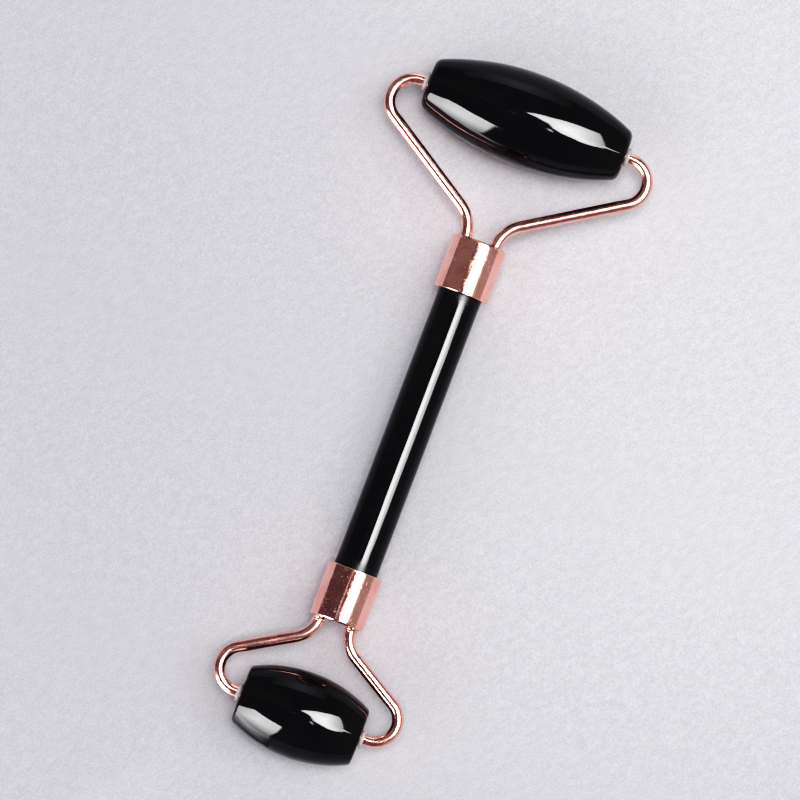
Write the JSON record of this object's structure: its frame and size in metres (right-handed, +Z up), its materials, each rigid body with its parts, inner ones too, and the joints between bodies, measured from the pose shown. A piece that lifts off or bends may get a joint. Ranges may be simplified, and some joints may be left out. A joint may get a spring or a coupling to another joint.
{
  "type": "face roller",
  "caption": "Double-ended hand massage roller: a polished stone rod with a plated wire fork at each end, each fork carrying a free-spinning barrel-shaped stone.",
  "frame": {"origin": "below the middle of the whole object, on the surface that the large roller rests on", "axes": "+X across the forks, to the right with the large roller away from the viewer; +Y along the rod from the small roller to the large one; +Z up, square to the plane of the forks"},
  "size_m": [0.057, 0.146, 0.019],
  "materials": {
    "black_stone": "polished",
    "rose_gold_plate": "polished",
    "pale_nylon": "satin",
    "cured_epoxy": "satin"
  },
  "bodies": {
    "handle_and_forks": {"handle_rod": "black_stone", "large_end_ferrule": "rose_gold_plate", "small_end_ferrule": "rose_gold_plate", "large_end_adhesive": "cured_epoxy", "small_end_adhesive": "cured_epoxy", "large_fork_left_arm": "rose_gold_plate", "large_fork_right_arm": "rose_gold_plate", "small_fork_left_arm": "rose_gold_plate", "small_fork_right_arm": "rose_gold_plate", "large_left_solder_collar": "rose_gold_plate", "large_right_solder_collar": "rose_gold_plate", "small_left_solder_collar": "rose_gold_plate", "small_right_solder_collar": "rose_gold_plate"},
    "large_roller_body": {"large_roller": "black_stone", "large_left_bush": "pale_nylon", "large_right_bush": "pale_nylon"},
    "small_roller_body": {"small_roller": "black_stone", "small_left_bush": "pale_nylon", "small_right_bush": "pale_nylon"}
  },
  "joints": [
    {"name": "large_roller_spin", "type": "hinge", "parent": "handle_and_forks", "child": "large_roller_body", "pos_m": [0, 0.0635, 0.0095], "axis": [1, 0, 0], "continuous": true},
    {"name": "small_roller_spin", "type": "hinge", "parent": "handle_and_forks", "child": "small_roller_body", "pos_m": [0, -0.0641, 0.0095], "axis": [1, 0, 0], "continuous": true}
  ]
}
